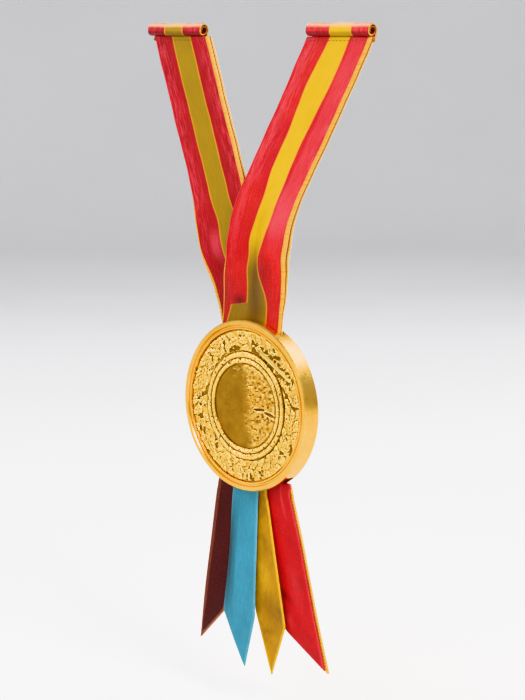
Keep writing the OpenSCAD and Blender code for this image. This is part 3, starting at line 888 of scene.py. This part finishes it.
def make_hem(arm, material):
    """The rolled hem at the top of an arm. Its cut ends show the gold binding."""
    low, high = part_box(f"{arm.side}_hem")
    if arm.sign < 0:
        high[0] -= LEFT_HEM_SHORTER
    width = high[0] - low[0]
    path = hem_path()
    loop = strip_loop(path, 0.56 * MM)
    walk = np.concatenate([[0], np.cumsum(np.linalg.norm(np.diff(path, axis=0), axis=1))])
    ends = np.array([0, 0.15, 0.5, 1.0, 1.5]) * MM
    stations = np.concatenate([low[0] + ends, np.linspace(low[0], high[0], 60)[3:-3], (high[0] - ends)[::-1]])
    rings, across = [], []
    for x in stations:
        end = min(x - low[0], high[0] - x)
        draw = 1 - 0.09 * math.exp(-end / (0.35 * MM))
        share = 2 * (x - low[0]) / width - 1
        sag = 0.07 * MM * math.sin(7 * share + 1) + 0.04 * MM * math.sin(19 * share)
        z = HEM_Z + loop[:, 1] * draw + sag * (loop[:, 1] > 0)
        rings.append(np.stack([np.full_like(z, x), loop[:, 0] * draw + sag * 0.5, z], 1))
        across.append(np.full(len(loop), share))
    rings, across = np.array(rings), np.array(across)
    round_roll = np.linspace(0, 1, len(path))
    # painted shade on the lower half of the roll, in the red and the stripe alike
    under = ease(round_roll, 0.38, 0.42)
    # a painted highlight runs in a cream line along the top of the roll
    marks = {"along": walk / MM, "shade": 0.35 * under, "shade_red": 0.65 * under,
             # painted shade darkens the binding on the rolled ends, most towards the inside of the coil
             "top_highlight": hill(round_roll, 0.30, 0.05), "gap_and_shade": 0.42 + 0.45 * ease(round_roll, 0.45, 0.7)}
    marks = {key: np.tile(round_loop(values), (len(stations), 1)) for key, values in marks.items()}
    marks["across"] = across
    marks["across_mm"] = across * width / 2 / MM
    marks["stripe"] = STRIPE_HALF - np.abs(across - (0.12 if arm.sign > 0 else 0))
    hem = new_object(f"{arm.side}_hem_roll", rings, sweep_faces(*rings.shape[:2]), marks)
    hem.data.flip_normals()
    paint(hem, material, mat_binding)
    cut = 1 - 2 * 0.3 * MM / width
    for face in hem.data.polygons:
        share = np.mean([across.ravel()[k] for k in face.vertices])
        face.material_index = int(abs(share) > cut)
    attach(hem, "ribbons")
    stand_for(hem, "striped_ribbon", f"{arm.side}_hem")
    make_stitches(arm)


def stitch_mesh(start, end, radius):
    """Vertices and faces of a thread stitch: a thin tube that dips into the cloth at both ends."""
    rings, around = 9, 8
    start, end = Vector(start), Vector(end)
    axis = (end - start).normalized()
    side = axis.cross(Vector((0, 1, 0))).normalized()
    up = axis.cross(side)
    vertices = []
    for i in range(rings):
        t = 2 * i / (rings - 1) - 1
        width = radius * math.sqrt(max(1 - t ** 6, 0.02))
        centre = start.lerp(end, (t + 1) / 2) + Vector((0, radius * 0.9 * t ** 2, 0))
        for k in range(around):
            a = 2 * math.pi * k / around
            vertices.append(tuple(centre + side * (width * math.cos(a)) + up * (width * math.sin(a))))
    caps = [tuple(range(around))[::-1], tuple((rings - 1) * around + k for k in range(around))]
    return vertices, band_faces(rings, around) + caps


def make_stitches(arm):
    """A row of stitches through the arm just below the roll of its hem."""
    row_z = arm.top - 1.6 * MM
    i = int(np.argmin(np.abs(arm.z - row_z)))
    left, right = arm.x0[i] + 1.6 * MM, arm.x1[i] - 1.6 * MM
    pitch = (right - left) / STITCH_COUNT
    vertices, faces = [], []
    for k in range(STITCH_COUNT):
        x = left + (k + 0.5) * pitch
        y = arm.y[i] - arm.thick[i] * 0.5 + arm.fold(2 * (k + 0.5) / STITCH_COUNT - 1, row_z) + 0.06 * MM
        made, links = stitch_mesh((x - pitch * 0.33, y, row_z), (x + pitch * 0.33, y, row_z), 0.15 * MM)
        faces += [tuple(n + len(vertices) for n in f) for f in links]
        vertices += made
    obj = new_object(f"{arm.side}_hem_thread", vertices, faces)
    paint(obj, mat_thread)
    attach(obj, "ribbons")
    stand_for(obj, "stitch_thread", f"{arm.side}_hem_stitches")
    return obj


make_hem(right_arm, mat_striped_right)
make_hem(left_arm, mat_striped_left_shaded)


# ---- tails

FOLD_Z = JOINT_Z["blue_tail_swing"]
BORDER = 1.6 * MM

# a tail's layers: how far each lies behind the root's middle, its thickness and the end of its node's name
WHOLE = (0.0, 0.8 * MM, "")
FACE = (-0.4 * MM, 0.7 * MM, "")
BACKING = (0.45 * MM, 0.75 * MM, "_backing")


def convex_outline(points):
    """Corners of the convex outline of points in a plane, in order."""
    points = sorted({(round(float(a), 6), round(float(b), 6)) for a, b in points})

    def half(sequence):
        chain = []
        for p in sequence:
            while len(chain) > 1 and ((chain[-1][0] - chain[-2][0]) * (p[1] - chain[-2][1])
                                      - (chain[-1][1] - chain[-2][1]) * (p[0] - chain[-2][0])) <= 0:
                chain.pop()
            chain.append(p)
        return chain[:-1]

    return np.array(half(points) + half(points[::-1]))


def crossing(outline, height):
    """Lowest and highest x where an outline crosses a height."""
    found = []
    for a, b in zip(outline, np.roll(outline, -1, axis=0)):
        if (a[1] - height) * (b[1] - height) <= 0 and abs(a[1] - b[1]) > 1e-9:
            found.append(a[0] + (b[0] - a[0]) * (height - a[1]) / (b[1] - a[1]))
    return (min(found), max(found)) if found else (0.0, 0.0)


def outline_edges(node, root):
    """Heights down a tail, and its left and right edge at each, read from its CAD outline, root and all."""
    free, held = (convex_outline(np.array([v.co for v in frame["nodes"][n].data.vertices])[:, [0, 2]])
                  for n in (node, root))
    held_low, held_high = held[:, 1].min() + 1e-6, held[:, 1].max() - 1e-6
    z = np.arange(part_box("medal_case")[0][2] + 5 * MM, free[:, 1].min() + 0.3 * MM, -STEP / 2)
    edges = [crossing(free, h) if h < FOLD_Z - 1.5 * MM else crossing(held, np.clip(h, held_low, held_high))
             for h in z]
    return (z, *np.array(edges).T)


def tail_sheet(name, key, layer, material, slot, cloth, trim=0.0, lip=0.0):
    """One layer of a tail, from inside the slot to its cut end. cloth(share, z) gives its fold in metres, the
    painted shade on it and the painted sheen where it catches the light. Its right edge stands in by trim, or
    comes forward by lip, with a sewn border."""
    behind, thickness, suffix = layer
    root = f"root_{key}"
    y = (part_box(root)[0][1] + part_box(root)[1][1]) / 2 + behind
    z, left, right = outline_edges(f"tail_{key}{suffix}", root)
    left, outer = smoothed(left, 2), smoothed(right, 2)
    right = outer - trim * ease(-z, -FOLD_Z - 4 * MM, -FOLD_Z - 2 * MM)
    keep = right - left > 0.4 * thickness
    z, left, right, outer = z[keep], left[keep], right[keep], outer[keep]
    middle, spread = (left + right) / 2, (right - left) / 2
    rings, shares = [], []
    for i, h in enumerate(z):
        half = max(spread[i], 0.35 * thickness)
        profile = band_profile(half, thickness * min(1, 0.5 + half / (2 * MM)), 34, 3)
        x = middle[i] + profile[:, 0]
        fold = cloth(2 * (x - left[i]) / (outer[i] - left[i]) - 1, h)[0]
        forward = lip * ease(x - right[i], -BORDER, -BORDER + 0.5 * MM)
        rings.append(np.stack([x, y + profile[:, 1] + fold - forward, np.full_like(x, h)], 1))
        shares.append(profile[:, 0] / half)
    rings, shares = np.array(rings), np.array(shares)
    x = rings[..., 0]
    inward = (spread[:, None] - np.abs(x - middle[:, None])) / np.hypot(1, np.gradient(spread, z))[:, None]
    _, shade, glow = cloth(shares, rings[..., 2])
    lit = layer is not BACKING
    obj = new_object(name, rings, sweep_faces(*rings.shape[:2]),
                     {"across_mm": (x - middle[:, None]) / MM, "along": -rings[..., 2] / MM,
                      "border": (right[:, None] - x) / (2 * BORDER) * (lip > 0),
                      "edge": clamp(1 - inward / (1.1 * MM)) ** 0.7,
                      "shade": shade * lit, "glow": glow * lit})
    obj.data.flip_normals()
    paint(obj, material)
    stand_for(obj, slot, f"tail_{key}{suffix}", *([root] if lit else []))
    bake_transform(obj)


def drop(z):
    """How far below the fold a point is, in millimetres."""
    return np.maximum(FOLD_Z - z, 0) / MM


def blue_cloth(share, z):
    d = drop(z)
    curl = 1.3 * hill(d, 32, 34) * clamp(-share - 0.35) ** 2 / 0.42
    fold = -0.012 * d + curl - 0.25 * np.sin(d / 21) + 0.06 * np.sin(d / 5 + 3 * share)
    # painted shade along the curled-back left edge
    strip = 0.55 * ease(-share, 0.26, 0.52) + 0.42 * ease(-share, 0.55, 0.8)
    return fold * MM, strip * hill(d, 29, 28) ** 0.5, 0 * fold


def yellow_cloth(share, z):
    d = drop(z)
    edges = -0.16 * ease(np.abs(share), 0.62, 0.9)
    fold = edges - 0.10 * np.sin(d / 15) + 0.2 * hill(share, 0.1, 0.6) * ease(d, 20, 50)
    # painted shade in a dark patch lower down the tail
    shade = 0.6 * hill(d, 48, 11) * hill(share, 0.1, 0.85)
    return fold * MM, shade, 0.4 * hill(d, 34, 10) * hill(share, -0.1, 0.8)


def red_left_cloth(share, z):
    d = drop(z)
    fold = 0.016 * d + 0.35 * np.sin(d / 17) * share + 0.12 * np.sin(d / 7 + 2 * share)
    return fold * MM, 0 * fold, 0.35 * hill(share, -0.80, 0.12) + 0 * fold


def red_right_cloth(share, z):
    d = drop(z)
    fold = 0.020 * d + 0.30 * np.sin(d / 14 + 1.2 * share) * ease(d, 4, 20)
    fold = fold - 0.5 * hill(d, 47, 12) * hill(share, -0.55, 0.6)
    fold = fold + 0.35 * hill(d, 40, 9) * hill(share, -0.3, 0.6)
    # painted shade in the crease
    shade = 0.75 * hill(d, 44 + 5 * share, 3.2) * hill(share, -0.7, 0.7)
    glow = 0.8 * hill(d, 3, 8) * hill(share, 0.35, 0.14)
    glow = glow + 0.35 * hill(d, 37, 13) * hill(share, 0.1, 0.6)
    glow = glow + 0.5 * hill(d, 51, 5) * hill(share, -0.55, 0.35)
    return fold * MM, shade, glow


tail_sheet("blue_tail_ribbon", "blue", WHOLE, mat_blue, "blue_ribbon", blue_cloth)
tail_sheet("yellow_tail_ribbon", "yellow", WHOLE, mat_yellow, "yellow_ribbon", yellow_cloth)
tail_sheet("left_tail_face", "red_left", FACE, mat_red_shaded, "dark_red_ribbon", red_left_cloth)
tail_sheet("left_tail_back", "red_left", BACKING, mat_tan_back, "tan_backing", red_left_cloth)
tail_sheet("right_tail_face", "red_right", FACE, mat_red, "red_ribbon", red_right_cloth,
           trim=BORDER)
tail_sheet("right_tail_back", "red_right", BACKING, mat_gold_back, "gold_backing",
           red_right_cloth, lip=0.5 * MM)


# ---- floor, light and camera

FLOOR_Z = cad_box[0][2] - 14 * MM


def make_floor():
    """A pale round floor that curves up into a wall far behind, alike from every side."""
    run, turn, wall, around = 1.9, 0.9, 1.5, 96
    arc = np.linspace(0, math.pi / 2, 20)[1:]
    line = [(run * 0.3, 0), (run, 0)] + [(run + turn * math.sin(a), turn * (1 - math.cos(a))) for a in arc]
    line += [(run + turn, wall)]
    vertices = [(r * math.cos(2 * math.pi * k / around), r * math.sin(2 * math.pi * k / around), FLOOR_Z + h)
                for r, h in line for k in range(around)] + [(0, 0, FLOOR_Z)]
    faces = band_faces(len(line), around)
    faces += [((k + 1) % around, k, len(vertices) - 1) for k in range(around)]
    floor = new_object("studio_floor", vertices, faces)
    s = Shader("studio_paper", Roughness=0.85, Specular_IOR_Level=0.2)
    tone = s.noise(6.0, 3.0, 0.5)
    s.use("Base Color", s.mix(tone, (0.76, 0.75, 0.74), (0.80, 0.79, 0.78)))
    paint(floor, s.material)


def direction(azimuth, elevation):
    """The way from the medal to a place, in degrees round from its face and above it."""
    a, e = math.radians(azimuth), math.radians(elevation)
    return Vector((math.sin(a) * math.cos(e), -math.cos(a) * math.cos(e), math.sin(e)))


def softbox(name, azimuth, elevation, distance, size, power):
    """A square area light that looks at the medal from the given direction."""
    light = bpy.data.lights.new(name, "AREA")
    light.shape, light.size, light.energy = "SQUARE", size, power
    obj = bpy.data.objects.new(name, light)
    obj.location = direction(azimuth, elevation) * distance
    obj.rotation_euler = (-obj.location).to_track_quat("-Z", "Y").to_euler()
    bpy.context.scene.collection.objects.link(obj)


CAMERA_AZIMUTH = 45.07
CAMERA_ELEVATION = 8.27
CAMERA_DISTANCE = 0.8879
CAMERA_TARGET = Vector((0.0031, 0, 0.0225))
FOCAL_PER_HEIGHT = 2192.6 / 700
SENSOR = 36


def make_camera():
    data = bpy.data.cameras.new("photo_view")
    data.sensor_width, data.sensor_fit = SENSOR, "AUTO"
    data.lens = SENSOR * FOCAL_PER_HEIGHT
    data.clip_start = 0.01
    camera = bpy.data.objects.new("photo_view", data)
    camera.location = CAMERA_TARGET + direction(CAMERA_AZIMUTH, CAMERA_ELEVATION) * CAMERA_DISTANCE
    camera.rotation_euler = (math.radians(90 - CAMERA_ELEVATION), 0, math.radians(CAMERA_AZIMUTH))
    bpy.context.scene.collection.objects.link(camera)
    bpy.context.scene.camera = camera


make_floor()
softbox("key", 78, 44, 1.3, 0.45, 21)
softbox("front", 12, 30, 1.5, 0.5, 5)
softbox("left_front", -50, 40, 1.5, 0.7, 11)
softbox("back_rim", 165, 40, 1.4, 0.6, 8)
world = bpy.data.worlds.new("studio")
world.use_nodes = True
background = world.node_tree.nodes["Background"]
background.inputs["Color"].default_value = (0.9, 0.93, 1.0, 1)
background.inputs["Strength"].default_value = 0.6
bpy.context.scene.world = world
bpy.context.scene.view_settings.view_transform = "Khronos PBR Neutral"
make_camera()
